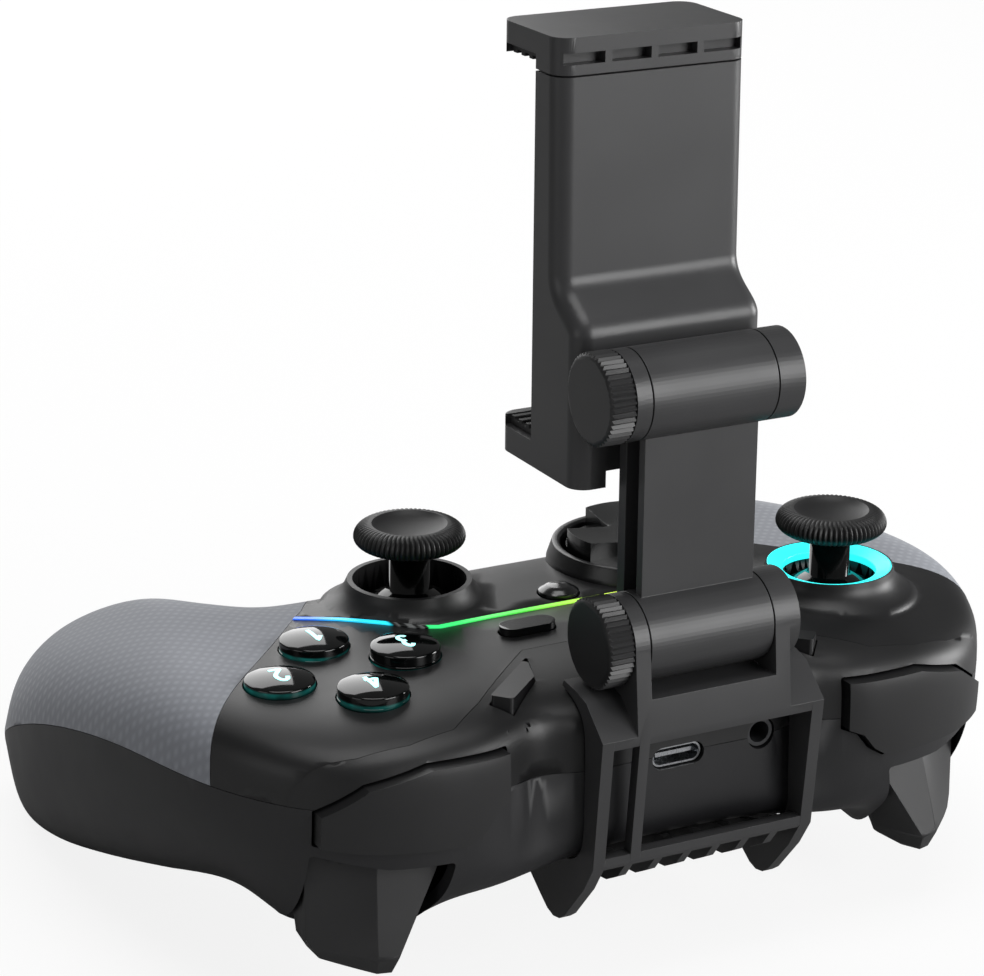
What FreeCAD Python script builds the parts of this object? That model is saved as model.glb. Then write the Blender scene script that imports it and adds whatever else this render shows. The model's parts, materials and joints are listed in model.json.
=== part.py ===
import FreeCAD, Part
import math
import os

# A wireless gamepad with a folding phone clip, in millimetres, +Z up.
# X runs to the player's right and Y away from the player, towards the triggers.
# The pad is drawn about the lower clip hinge and moved to the base centre at the end.

V = FreeCAD.Vector

# Shells
shell_wall = 2.2
part_line_z = -20.0
part_line_bend_y = -30.0
part_line_drop = 0.0155
part_line_power = 1.7
running_gap = 0.3
fit_gap = 0.05
bore_gap = 0.2
rear_reach = 12.0
far = 120.0

# Half of the pad's plan and heights, from the middle out to the handle's tip. Each row is a
# cross section: outer edge x, y; inner edge x, y; top height outer, inner; underside height
# outer, inner; squareness of the section's four corners (top outer, top inner, low outer, low inner).
pad_sections = [
    (0.0, 3.0, 0.0, -67.5, -7.4, -7.2, -38.0, -37.0, 4.6, 3.8, 5.2, 3.0),
    (18.0, 3.4, 13.0, -67.5, -7.5, -7.2, -38.3, -37.0, 4.6, 3.8, 5.6, 3.0),
    (33.0, 4.2, 24.0, -68.0, -7.8, -7.4, -40.3, -37.5, 4.4, 3.7, 6.0, 2.8),
    (46.5, 3.8, 33.0, -70.0, -8.3, -7.8, -40.5, -38.5, 4.2, 3.3, 4.6, 2.6),
    (58.0, -0.5, 40.5, -74.5, -8.7, -8.4, -40.0, -42.0, 3.8, 2.9, 3.0, 2.4),
    (67.5, -11.0, 46.5, -82.5, -8.3, -8.8, -42.0, -47.0, 3.8, 2.7, 2.6, 2.3),
    (74.8, -28.0, 51.5, -92.0, -8.0, -10.5, -46.0, -52.0, 3.3, 2.6, 2.4, 2.2),
    (78.2, -50.0, 56.0, -101.0, -11.8, -16.0, -51.0, -57.0, 2.8, 2.5, 2.3, 2.2),
    (78.8, -73.0, 61.0, -108.0, -18.6, -24.0, -56.0, -59.0, 2.5, 2.4, 2.2, 2.2),
    (77.0, -93.0, 66.5, -111.0, -30.0, -33.0, -56.5, -57.5, 2.3, 2.3, 2.2, 2.2),
    (73.8, -106.5, 72.0, -108.5, -43.0, -43.6, -47.5, -47.0, 2.2, 2.2, 2.2, 2.2),
]
section_steps = 3
section_points = 40

# The swelling under each shoulder that houses the trigger
swell_depth = 10.5
swell_x = 52.5
swell_y = -11.5
swell_half_x = 12.3
swell_half_y = 10.0
swell_flatness = 4
swell_fade = 0.6

# The hollow in the rear wall between the pad's middle and each shoulder
scoop_depth = 3.4
scoop_x = 24.5
scoop_half_x = 4.5
scoop_narrowness = 8
scoop_below_seam = 0.35

# Seam between face and shoulder frame, and between face and grip covers, seen from above
deck_seam = [(16.5, -19.0), (31.5, -5.2), (38.0, -0.6), (46.0, 0.0), (54.0, -1.4), (62.0, -4.6), (65.5, -7.5)]
grip_seam = [(33.0, -64.0), (39.5, -53.6), (50.3, -41.2), (63.8, -26.5), (72.2, -17.0)]

# Thumb sticks
stick_right_at = (21.9, -48.7)
stick_left_at = (-44.9, -23.7)
stick_pivot_z = -16.7
dome_radius = 11.2
dome_wall = 1.0
dome_half_angle = 56.0
cap_radius = 9.36
cap_top_z = 5.4
cap_bottom_z = 0.9
cap_edge_round = 2.2
dish_radius = 6.4
dish_depth = 1.5
neck_radius = 3.4
stick_shaft_radius = 1.6
collar_top_z = -4.26
collar_top_radius = 10.5
collar_hole_radius = 9.5
collar_flare = [(11.3, -6.0), (12.8, -7.6), (15.2, -9.0)]
collar_bottom_z = -10.2
collar_wall = 1.8
collar_foot_z = -12.4
ring_ledge_z = -6.4
ring_inner_radius = 7.95
ring_inner_z = -5.2
ring_lip = 0.4
module_size = 16.6
module_wall = 1.0
stick_tilt_deg = 13.0
module_top_z = -14.8
carrier_wall = 1.6
carrier_below = 2.3
carrier_above = 1.8
carrier_gap = 0.2
gimbal_size = 7.2
gimbal_height = 3.4
gimbal_bar_radius = 1.2
gimbal_pin_radius = 0.6
gimbal_slot_half = 2.3
gimbal_side_gap = 0.15
stick_tail = 2.0
cap_stud_radius = 2.2
cap_stud_height = 2.0
click_travel = 0.5

# Direction pad
dpad_at = (-22.3, -48.2)
dpad_arm_half = 4.1
dpad_reach = 12.9
dpad_tip_z = -1.9
dpad_dip = 1.1
dpad_floor_z = -5.3
dpad_bottom_z = -7.6
dpad_stem_radius = 3.4
dpad_stem_z = -9.8
dpad_rocker_radius = 3.0
dpad_rocker_height = 1.2
dpad_rocker_gap = 0.35
dpad_tilt_deg = 5.0
bezel_outer_radius = 16.3
bezel_top_radius = 15.3
bezel_hole_radius = 13.9
bezel_top_z = -4.6
bezel_foot_z = -7.6
bezel_bottom_z = -12.6
bezel_chamfer = 0.4

# Face buttons: a diamond of four, and the small buttons of the middle
face_centre = (44.9, -25.8)
face_spacing = 10.95
face_top_z = -6.1
face_slope_x = -0.084
face_radius = 5.65
face_dome = 0.9
face_travel = 1.3
button_flange = 0.85
button_flange_height = 1.0
face_flange_z = -11.9
small_flange_z = -10.3
stem_length = 1.0
post_radius = 4.0
post_gap = 0.1
pad_sheet = 1.0
sheet_margin = 0.6
middle_margin = 1.3
home_at = (-0.9, -38.6)
home_radius = 3.4
home_top_z = -5.7
menu_at = (11.6, -26.4)
menu_length = 9.8
menu_width = 4.2
menu_top_z = -6.2
small_travel = 0.6
corner_points = [(17.6, -15.6), (29.9, -4.2), (27.4, -1.4), (20.2, -8.0)]
corner_top_z = -7.3
corner_flange_z = -13.2

# Light strip let into the face
strip_points = [(43.5, -51.4), (36.3, -45.3), (31.0, -40.0), (26.7, -35.3), (23.8, -33.8)]
strip_width = 1.1
strip_depth = 1.4
strip_proud = 0.15

# Shoulder buttons and triggers, seen from the front
bumper_points = [(31.0, -13.5), (44.5, -13.5), (54.0, -15.9), (60.4, -20.4), (60.4, -25.7),
                 (54.0, -26.3), (38.2, -26.9), (35.6, -25.2), (33.6, -22.6), (31.0, -21.5)]
bumper_proud = 1.7
bumper_wall = 3.4
bumper_gap = 0.45
bumper_pivot = (27.5, -4.6)
bumper_arm_z = -19.5
bumper_arm_height = 3.0
bumper_arm_half = 1.4
bumper_arm_reach = 2.0
bumper_arm_end = [(37.0, -1.4), (37.0, 1.8), (33.0, 1.8)]
bumper_boss_radius = 2.4
bumper_pin_radius = 1.1
bumper_travel_deg = 1.6
trigger_points = [(40.6, -30.8), (50.5, -30.6), (60.4, -28.6), (60.4, -43.5), (58.8, -46.6), (51.5, -48.4),
                  (47.5, -48.2), (44.6, -46.6)]
# Plan outlines of the trigger at three heights: inner front, ridge, outer front, outer back, inner back
trigger_levels = [
    (-28.0, [(38.6, -0.9), (50.1, -3.0), (60.6, -7.6), (60.6, -14.8), (38.6, -14.8)]),
    (-45.3, [(48.7, 2.2), (52.0, 1.4), (60.6, -7.2), (60.2, -10.6), (43.6, -6.6)]),
    (-48.8, [(49.4, 0.4), (51.4, -0.3), (58.0, -5.6), (57.0, -8.4), (45.6, -5.6)]),
]
trigger_edge_round = 0.8
trigger_gap = 0.6
trigger_pivot = (-12.2, -28.6)
trigger_bay_behind = 4.5
trigger_bay_spread = 0.5
trigger_knuckle_radius = 2.6
trigger_inner_x = 43.6
trigger_outer_x = 59.4
trigger_travel_deg = 14.0
trigger_pin_radius = 1.0
lug_thickness = 1.3
lug_gap = 0.3
lug_half = 2.4
lug_room = 3.9
trigger_spring_half = 1.6
trigger_spring_room_ys = (-4.0, 3.4)
trigger_spring_wall = 0.5

# Inside
board_top_z = -22.2
board_thickness = 1.4
board_outline = [(20.0, -1.0), (20.0, -9.4), (60.0, -9.4), (60.0, -36.0), (44.0, -57.2)]
frame_outline = [(20.0, -14.4), (24.0, -14.4), (24.0, -1.8), (31.0, -1.8), (31.0, -13.6), (40.0, -13.6), (42.0, -54.0)]
frame_thickness = 1.6
battery_size = (52.0, 34.0, 8.6)
battery_y = -36.0
motor_radius = 7.8
motor_length = 12.0
motor_at = (63.6, -76.0, -38.4)
weight_radius = 6.6
weight_length = 6.0
motor_shaft_radius = 0.9
usb_width = 8.94
usb_height = 3.26
usb_length = 7.4
usb_wall = 0.3
usb_tongue_side = 1.2
usb_tongue_half = 0.35
usb_floor = 1.0
jack_x = -15.4
jack_bore_radius = 1.8
jack_width = 6.0
jack_height = 5.0
jack_nose_radius = 2.4
jack_nose_length = 2.6
port_recess = 0.8
jack_length = 12.0
screw_radius = 1.3
screw_head_radius = 2.4
screw_head_height = 1.6
screw_sink = 3.0
boss_radius = 3.4
screw_places = [(38.0, -62.0), (67.0, -42.0), (70.0, -88.0)]
screw_grip = 5.0
frame_posts = [(34.0, -19.0), (34.0, -50.0)]
post_thickness = 2.6
cradle_wall = 1.6

# Phone clip
clip_x = -3.2
barrel_radius = 7.2
barrel_half = 11.07
ear_gap = 0.25
barrel_room = 0.5
bolt_head = 1.0
knob_gap = 0.17
knob_taper = 1.0
knob_bore_end = 2.6
ear_outer = 13.93
cap_outer = 15.94
knob_face_radius = 6.5
knob_radius = 7.3
knob_length = 4.3
knob_teeth = 48
tooth_depth = 0.45
bolt_radius = 2.5
upper_axis_y = -1.2
upper_axis_z = 39.3
arm_half = 10.1
arm_back_y = -5.8
arm_front_y = 1.9
arm_front_wall = 1.7
arm_back_wall = 2.2
arm_web_half = 7.0
clip_half = 16.8
clip_back_y = -22.3
clip_front_y = -14.7
clip_low_front_y = -7.8
clip_bottom_z = 22.2
clip_top_z = 85.6
clip_high_front_y = -15.2
clip_flare_top_z = 55.0
clip_flare_pull = 4.2
clip_edge_round = 3.0
jaw_corner_round = 3.0
ear_strap_half = 4.0
track_bottom_z = 32.0
clip_wall = 1.8
clip_flare_z = 46.4
jaw_reach_y = -33.2
jaw_thickness = 4.2
top_jaw_reach_y = -34.1
top_jaw_z = 91.7
top_jaw_thickness = 3.5
jaw_lip = 1.6
slider_gap = 0.25
slider_half = 13.2
slider_thickness = 3.6
slider_bottom_z = 40.0
slider_travel = 27.0
arm_back_deg = 15.0
arm_fold_deg = 90.0
clip_back_deg = 20.0
clip_fold_deg = 45.0
pad_rubber = 1.0
pad_rib_height = 0.6
pad_margin = 1.2
pad_rib_count = 4
spring_radius = 1.6
spring_bore_radius = 1.0
slot_depth = 2.0
slot_count = 4
slot_rib = 1.2
slot_low_z = 87.5
slot_high_z = 89.3

# Bracket that grips the pad's rear edge
bracket_half = 20.2
bracket_bar = 2.1
bracket_top_bar = 1.6
bracket_top = (8.5, -13.2)
bracket_bottom = (6.2, -35.6)
bracket_clearance = 0.3
bracket_rib_count = 6
bracket_rib_width = 1.5
bracket_lip_top = [(-4.2, -7.1), (0.0, -7.6), (3.0, -8.4)]
bracket_lip_under = [(6.2, -14.8), (6.2, -13.6), (2.4, -10.2), (0.0, -9.6), (-4.2, -8.9)]
bracket_lip_low = [(3.6, -38.9), (0.0, -41.0), (-6.0, -42.0), (-12.0, -41.4), (-13.0, -40.4), (-13.0, -36.2)]
bracket_bottom_bar = 1.6
bracket_bar_depth = 2.1
bracket_slot_back_y = -10.4
bracket_post_x = 12.6
bracket_post_width = 1.8
fin_points = [(3.2, -40.4), (-0.9, -45.2), (-2.6, -47.2), (-4.4, -48.5), (-6.4, -48.9), (-8.4, -48.4), (-10.6, -47.0),
              (-17.5, -42.2), (-17.5, -34.0)]


def box(x0, x1, y0, y1, z0, z1):
    return Part.makeBox(x1 - x0, y1 - y0, z1 - z0, V(x0, y0, z0))


def rod_x_axis(x0, x1, y, z, radius):
    return Part.makeCylinder(radius, x1 - x0, V(x0, y, z), V(1, 0, 0))


def rod_z_axis(x, y, z0, z1, radius):
    return Part.makeCylinder(radius, z1 - z0, V(x, y, z0), V(0, 0, 1))


def rod_y_axis(x, z, y0, y1, radius):
    return Part.makeCylinder(radius, y1 - y0, V(x, y0, z), V(0, 1, 0))


def plan_wire(points):
    return Part.makePolygon([V(x, y, 0) for x, y in points + points[:1]])


def grown(wire, distance):
    return wire.makeOffset2D(distance, 0, False, False, False) if distance else wire


def rounded(wire, radius):
    return wire.makeOffset2D(-radius, 0, False, False, False).makeOffset2D(radius, 0, False, False, False)


def prism_z(points, z0, z1, grow=0.0, radius=0.0):
    """Solid with a plan outline of (x, y) points, standing from z0 to z1."""
    wire = grown(plan_wire(points), grow)
    if radius:
        wire = rounded(wire, radius)
    wire.translate(V(0, 0, z0))
    return Part.Face(wire).extrude(V(0, 0, z1 - z0))


def prism_y(points, y0, y1, grow=0.0, radius=0.0):
    """Solid with a front outline of (x, z) points, running along Y from y0 to y1."""
    solid = prism_z(points, -y1, -y0, grow, radius)
    solid.rotate(V(0, 0, 0), V(1, 0, 0), 90)
    return solid


def prism_x(points, x0, x1, grow=0.0, radius=0.0):
    """Solid with a side outline of (y, z) points, running along X from x0 to x1."""
    solid = prism_z(points, x0, x1, grow, radius)
    solid.rotate(V(0, 0, 0), V(0, 0, 1), 90)
    solid.rotate(V(0, 0, 0), V(0, 1, 0), 90)
    return solid


def turned(profile, x, y):
    """Solid of revolution about the vertical line through (x, y), from (radius, z) points."""
    wire = Part.makePolygon([V(r, 0, z) for r, z in profile + profile[:1]])
    solid = Part.Face(wire).revolve(V(0, 0, 0), V(0, 0, 1), 360)
    solid.translate(V(x, y, 0))
    return solid


def mirrored(solid):
    return solid.mirror(V(0, 0, 0), V(1, 0, 0))


def part_line(y):
    """Height of the seam between upper and lower shell: level, then falling along the handles."""
    behind = max(0.0, part_line_bend_y - y)
    return part_line_z - part_line_drop * behind ** part_line_power


def blended_section(step):
    """Catmull-Rom blend of the section table, mirrored about the middle."""
    index = int(math.floor(step))
    index = min(index, len(pad_sections) - 2)
    t = step - index
    first = [-v if i in (0, 2) else v for i, v in enumerate(pad_sections[1])]
    before = first if index == 0 else pad_sections[index - 1]
    here = pad_sections[index]
    there = pad_sections[index + 1]
    last = [2 * b - a for a, b in zip(here, there)]
    after = pad_sections[index + 2] if index + 2 < len(pad_sections) else last
    row = []
    for a, b, c, d in zip(before, here, there, after):
        row.append(0.5 * (2 * b + (c - a) * t + (2 * a - 5 * b + 4 * c - d) * t * t + (3 * b - a - 3 * c + d) * t ** 3))
    return row


def section_ring(row, inset):
    """Points round one cross section, a squared ellipse between its outer and inner edges."""
    ox, oy, ix, iy, top_o, top_i, low_o, low_i = row[:8]
    corners = row[8:]
    span = math.hypot(ox - ix, oy - iy)
    inset_side = min(inset, 0.4 * span)
    ux, uy = (ox - ix) / span, (oy - iy) / span
    ox, oy = ox - ux * inset_side, oy - uy * inset_side
    ix, iy = ix + ux * inset_side, iy + uy * inset_side
    ring = []
    for k in range(section_points):
        angle = 2 * math.pi * k / section_points
        c, s = math.cos(angle), math.sin(angle)
        squareness = corners[(0 if s >= 0 else 2) + (0 if c >= 0 else 1)]
        across = math.copysign(abs(c) ** (2 / squareness), c)
        up = abs(s) ** (2 / squareness)
        share = (across + 1) / 2
        x, y = ix + (ox - ix) * share, iy + (oy - iy) * share
        seam = part_line(y)
        crown = top_i + (top_o - top_i) * share - inset if s >= 0 else low_i + (low_o - low_i) * share + inset
        z = seam + (crown - seam) * up
        if s < 0:
            spread = abs((x - swell_x) / swell_half_x) ** swell_flatness + ((y - swell_y) / swell_half_y) ** 2
            z -= swell_depth * abs(s) ** swell_fade * math.exp(-spread)
        hollow = math.exp(-((x - scoop_x) / scoop_half_x) ** 2 - (min(s, 0) / scoop_below_seam) ** 2)
        y -= scoop_depth * share ** scoop_narrowness * hollow
        ring.append(V(x, y, z))
    return ring


def pad_form(inset):
    """The pad's whole form as one solid, drawn in by the inset all round."""
    last = len(pad_sections) - (2 if inset > 0 else 1)
    half = [section_ring(blended_section(k / section_steps), inset) for k in range(last * section_steps + 1)]
    other = [[V(-p.x, p.y, p.z) for p in ring] for ring in half[:0:-1]]
    grid = other + half
    rows = len(grid)
    surface = Part.BSplineSurface()
    u_knots = list(range(rows - 2))
    u_mults = [4] + [1] * (rows - 4) + [4]
    v_knots = list(range(section_points + 1))
    v_mults = [1] * (section_points + 1)
    surface.buildFromPolesMultsKnots(grid, u_mults, v_mults, u_knots, v_knots, False, True, 3, 3)
    skin = surface.toShape()
    ends = [Part.Face(Part.Wire([edge])) for edge in skin.Edges if edge.isClosed()]
    closed = Part.Compound([skin] + ends)
    closed.sewShape()
    solid = Part.makeSolid(closed.Shells[0])
    return solid if solid.Volume > 0 else solid.reversed()


def below_part_line():
    """Everything under the shells' seam, as one solid."""
    count = 24
    ys = [far - 2 * far * k / count for k in range(count + 1)]
    curve = Part.BSplineCurve()
    curve.interpolate([V(-far, y, part_line(y)) for y in ys])
    top = curve.toShape()
    corners = [V(-far, -far, -far), V(-far, far, -far)]
    sides = Part.makePolygon([top.valueAt(top.LastParameter)] + corners + [top.valueAt(top.FirstParameter)])
    outline = Part.Wire(Part.__sortEdges__([top] + sides.Edges))
    return Part.Face(outline).extrude(V(2 * far, 0, 0))


def both_sides(points):
    """A plan outline that starts on the right, carried over to the left in mirror image."""
    return points + [(-x, y) for x, y in reversed(points)]


def band(points, width):
    """Plan outline of a strip of constant width along a line of points."""
    left, right = [], []
    for i, (x, y) in enumerate(points):
        x0, y0 = points[max(i - 1, 0)]
        x1, y1 = points[min(i + 1, len(points) - 1)]
        length = math.hypot(x1 - x0, y1 - y0)
        nx, ny = -(y1 - y0) / length * width / 2, (x1 - x0) / length * width / 2
        left.append((x + nx, y + ny))
        right.append((x - nx, y - ny))
    return left + right[::-1]


def stadium(x, y, length, width, z0, z1, grow=0.0):
    """Upright solid with straight sides and round ends, long along X."""
    radius = width / 2 + grow
    reach = length / 2 - width / 2
    middle = box(x - reach, x + reach, y - radius, y + radius, z0, z1)
    ends = [rod_z_axis(x + side * reach, y, z0, z1, radius) for side in (-1, 1)]
    return middle.fuse(ends).removeSplitter()


def fused(*solids):
    return solids[0].fuse(list(solids[1:])).removeSplitter()


def group(*solids):
    return Part.Compound(list(solids))


nodes = {}

# Pad shells: one form, split at the seam, the deck line and the grip lines
form = pad_form(0.0)
cavity = pad_form(shell_wall)
skin = form.cut(cavity)
lower = below_part_line()
deck_outline = both_sides(deck_seam + [(far, deck_seam[-1][1]), (far, far)])
deck_region = prism_z(deck_outline, -far, far)
grip_outline = grip_seam + [(far, grip_seam[-1][1]), (far, -far), (grip_seam[0][0], -far)]
grip_region = prism_z(grip_outline, -far, far)
upper_skin = skin.cut(lower)
lower_skin = skin.common(lower)
deck_skin = upper_skin.common(deck_region)
grip_right = upper_skin.common(grip_region)
face_skin = upper_skin.cut(deck_region).cut(grip_region).cut(mirrored(grip_region))

# Raised collars of the two sticks, joined to the face shell
wall_above = [(collar_hole_radius, collar_bottom_z), (collar_hole_radius, collar_top_z)]
collar_edge = collar_flare[-1][0]
collar_foot = [(collar_edge, collar_foot_z), (collar_edge - collar_wall, collar_foot_z)]
collar_foot += [(collar_edge - collar_wall, collar_bottom_z)]
plain_collar = turned(wall_above + [(collar_top_radius, collar_top_z)] + collar_flare + collar_foot, *stick_right_at)
ledge = [(collar_hole_radius, collar_bottom_z), (collar_hole_radius, ring_ledge_z), (collar_top_radius, ring_ledge_z)]
ledge += [(collar_top_radius, collar_top_z), (collar_top_radius + ring_lip, collar_top_z)]
lit_collar = turned(ledge + collar_flare + collar_foot, *stick_left_at)
ring = [(ring_inner_radius, ring_ledge_z), (ring_inner_radius, ring_inner_z)]
ring += [(collar_top_radius, collar_top_z), (collar_top_radius, ring_ledge_z)]
nodes["light_ring_left"] = turned(ring, *stick_left_at)
for at in (stick_right_at, stick_left_at):
    face_skin = face_skin.cut(rod_z_axis(*at, -shell_wall - far / 4, 0, collar_top_radius + ring_lip))
face_skin = face_skin.fuse([plain_collar, lit_collar])

# Direction pad: bezel, cross on a disc, rocker below it
bezel = [(bezel_hole_radius, bezel_bottom_z), (bezel_hole_radius, bezel_top_z - bezel_chamfer)]
bezel += [(bezel_hole_radius + bezel_chamfer, bezel_top_z)]
bezel += [(bezel_top_radius, bezel_top_z), (bezel_outer_radius, bezel_foot_z), (bezel_outer_radius, bezel_bottom_z)]
nodes["dpad_ring"] = turned(bezel, *dpad_at)
face_skin = face_skin.cut(rod_z_axis(*dpad_at, bezel_bottom_z - shell_wall, 0, bezel_outer_radius))
dish = turned([(0, dpad_bottom_z), (0, dpad_tip_z - dpad_dip), (dpad_reach / 2, dpad_tip_z - 0.75 * dpad_dip),
               (dpad_reach, dpad_tip_z), (dpad_reach, dpad_bottom_z)], *dpad_at)
px, py = dpad_at
arms = [box(px - dpad_reach, px + dpad_reach, py - dpad_arm_half, py + dpad_arm_half, dpad_bottom_z, 0),
        box(px - dpad_arm_half, px + dpad_arm_half, py - dpad_reach, py + dpad_reach, dpad_bottom_z, 0)]
cross = dish.common(fused(*arms))
disc = rod_z_axis(px, py, dpad_bottom_z, dpad_floor_z, dpad_reach)
stem = rod_z_axis(px, py, dpad_stem_z, dpad_bottom_z, dpad_stem_radius)
nodes["dpad"] = fused(cross, disc, stem)
rocker_top_z = dpad_stem_z - dpad_rocker_gap
rocker_bottom_z = rocker_top_z - dpad_rocker_height
nodes["dpad_rocker"] = rod_z_axis(px, py, rocker_bottom_z, rocker_top_z, dpad_rocker_radius)

# Face buttons and the small buttons of the middle
flange_cut = []
button_posts = []
for number, (sx, sy) in enumerate(((0, -1), (1, 0), (-1, 0), (0, 1)), 1):
    x, y = face_centre[0] + sx * face_spacing, face_centre[1] + sy * face_spacing
    top = face_top_z + face_slope_x * sx * face_spacing
    side_z = top - face_dome
    side = [(0, face_flange_z - stem_length), (0, top), (face_radius * 0.5, top - 0.22 * face_dome)]
    side += [(face_radius * 0.85, top - 0.7 * face_dome), (face_radius, side_z)]
    flange = face_radius + button_flange
    side += [(face_radius, face_flange_z), (flange, face_flange_z), (flange, face_flange_z - stem_length)]
    nodes["face_button_%d" % number] = turned(side, x, y)
    flange_cut.append(rod_z_axis(x, y, face_flange_z, 0, face_radius + bore_gap))
    button_posts.append((x, y))
hx, hy = home_at
home_side = [(0, small_flange_z - stem_length), (0, home_top_z), (home_radius * 0.6, home_top_z - 0.3)]
home_side += [(home_radius, home_top_z - 1.1), (home_radius, small_flange_z), (home_radius + button_flange, small_flange_z)]
home_side += [(home_radius + button_flange, small_flange_z - stem_length)]
nodes["home_button"] = turned(home_side, hx, hy)
flange_cut.append(rod_z_axis(hx, hy, small_flange_z, 0, home_radius + bore_gap))
mx, my = menu_at
menu_body = stadium(mx, my, menu_length, menu_width, small_flange_z, menu_top_z)
menu_flange = stadium(mx, my, menu_length, menu_width, small_flange_z - stem_length, small_flange_z, button_flange)
nodes["menu_button_right"] = fused(menu_body, menu_flange)
menu_hole = stadium(mx, my, menu_length, menu_width, small_flange_z, 0, bore_gap)
flange_cut += [menu_hole, mirrored(menu_hole)]
face_skin = face_skin.cut(flange_cut)
corner_body = prism_z(corner_points, corner_flange_z, corner_top_z, 0.0, 0.6)
corner_flange = prism_z(corner_points, corner_flange_z - button_flange_height, corner_flange_z, button_flange)
nodes["corner_button_right"] = fused(corner_body, corner_flange)
corner_hole = prism_z(corner_points, -far / 4, 0, bore_gap)
corner_room_low = corner_flange_z - button_flange_height - small_travel - bore_gap
corner_room = prism_z(corner_points, corner_room_low, corner_flange_z + bore_gap, button_flange + bore_gap)
deck_skin = deck_skin.cut([corner_hole, mirrored(corner_hole), corner_room, mirrored(corner_room)])

# Light strip in its groove
strip_path = both_sides(strip_points)
both_grips = [grip_region, mirrored(grip_region)]
groove = prism_z(band(strip_path, strip_width), -far / 4, 0).cut([pad_form(strip_depth)] + both_grips)
face_skin = face_skin.cut(groove)
strip_end = rod_z_axis(*dpad_at, -far / 4, 0, bezel_outer_radius + running_gap)
nodes["light_strip"] = groove.common(pad_form(-strip_proud)).cut(strip_end)

# Bumpers: a curved bar standing proud of the form, on an arm that turns about an upright pin
bumper_bay = prism_y(bumper_points, -rear_reach, rear_reach, bumper_gap, bumper_gap)
bay_cuts = [bumper_bay, mirrored(bumper_bay)]
deck_skin = deck_skin.cut(bay_cuts)
face_skin = face_skin.cut(bay_cuts)
lower_skin = lower_skin.cut(bay_cuts)
bumper_bar = pad_form(-bumper_proud).cut(pad_form(bumper_wall)).common(prism_y(bumper_points, -rear_reach, rear_reach))
pivot_x, pivot_y = bumper_pivot
arm_low_z = bumper_arm_z - bumper_arm_height / 2
arm_high_z = bumper_arm_z + bumper_arm_height / 2
arm_plan = [(pivot_x - bumper_arm_half, pivot_y - bumper_arm_reach), (pivot_x + bumper_arm_half, pivot_y - bumper_arm_reach)]
arm_plan += bumper_arm_end + [(pivot_x - bumper_arm_half, pivot_y + bumper_arm_reach)]
bumper_arm = prism_z(arm_plan, arm_low_z, arm_high_z).fuse(
    rod_z_axis(pivot_x, pivot_y, arm_low_z, arm_high_z, bumper_boss_radius))
bumper = bumper_bar.fuse(bumper_arm).cut(
    rod_z_axis(pivot_x, pivot_y, arm_low_z, arm_high_z, bumper_pin_radius + fit_gap))
nodes["bumper_right"] = bumper

# Triggers in bays that open downwards
bay_inner_x = trigger_points[-1][0] - trigger_bay_spread
bay_low = [(trigger_points[3][0], -far / 2), (bay_inner_x, -far / 2), (bay_inner_x, trigger_points[-1][1])]
bay_points = trigger_points[:4] + bay_low
trigger_bay = prism_y(bay_points, trigger_pivot[0] - trigger_bay_behind, rear_reach, trigger_gap)
lower_skin = lower_skin.cut([trigger_bay, mirrored(trigger_bay)])
level_wires = [Part.makePolygon([V(x, y, z) for x, y in plan + plan[:1]]) for z, plan in trigger_levels]
trigger_front = prism_y(trigger_points, -far, rear_reach, 0.0, trigger_edge_round)
trigger_body = Part.makeLoft(level_wires, True, True).common(trigger_front)
ty, tz = trigger_pivot
knuckle = rod_x_axis(trigger_inner_x, trigger_outer_x, ty, tz, trigger_knuckle_radius)
trigger_middle_x = (trigger_inner_x + trigger_outer_x) / 2
spring_low_x = trigger_middle_x - trigger_spring_half
spring_high_x = trigger_middle_x + trigger_spring_half
room_y0, room_y1 = trigger_spring_room_ys
spring_room = box(spring_low_x, spring_high_x, ty + room_y0, ty + room_y1, tz - lug_room, tz + lug_room)
trigger_bore = rod_x_axis(trigger_inner_x, trigger_outer_x, ty, tz, trigger_pin_radius + fit_gap)
lug_rooms = [rod_x_axis(0, trigger_inner_x, ty, tz, lug_room), rod_x_axis(trigger_outer_x, far, ty, tz, lug_room)]
nodes["trigger_right"] = trigger_body.cut(lug_rooms).fuse(knuckle).cut([spring_room, trigger_bore])
spring_ring = rod_x_axis(spring_low_x + running_gap, spring_high_x - running_gap, ty, tz,
                         trigger_knuckle_radius - trigger_spring_wall)
trigger_spring = spring_ring.cut(rod_x_axis(trigger_inner_x, trigger_outer_x, ty, tz, trigger_pin_radius + fit_gap))
lug_in = (trigger_inner_x - lug_gap - lug_thickness, trigger_inner_x - lug_gap)
lug_out = (trigger_outer_x + lug_gap, trigger_outer_x + lug_gap + lug_thickness)
trigger_pin = rod_x_axis(lug_in[0], lug_out[1], ty, tz, trigger_pin_radius)
nodes["trigger_pins"] = group(trigger_pin, mirrored(trigger_pin))
nodes["trigger_springs"] = group(trigger_spring, mirrored(trigger_spring))

# Circuit board, the frame under it, battery and sockets
board_bottom_z = board_top_z - board_thickness
frame_bottom_z = board_bottom_z - frame_thickness
nodes["main_board"] = prism_z(both_sides(board_outline), board_bottom_z, board_top_z)
frame_plate = prism_z(both_sides(frame_outline), frame_bottom_z, board_bottom_z)
carrier_arm = box(frame_outline[-3][0], lug_out[1], ty - 2 * lug_half, ty + lug_half, frame_bottom_z, board_bottom_z)
lugs = [box(*x_range, ty - lug_half, ty + lug_half, tz - lug_half, board_bottom_z) for x_range in (lug_in, lug_out)]
bumper_pin = rod_z_axis(pivot_x, pivot_y, frame_bottom_z, arm_high_z + running_gap, bumper_pin_radius)
bumper_seat = rod_z_axis(pivot_x, pivot_y, frame_bottom_z, arm_low_z - running_gap, bumper_boss_radius)
side_frame = [carrier_arm, bumper_pin, bumper_seat] + lugs
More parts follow.
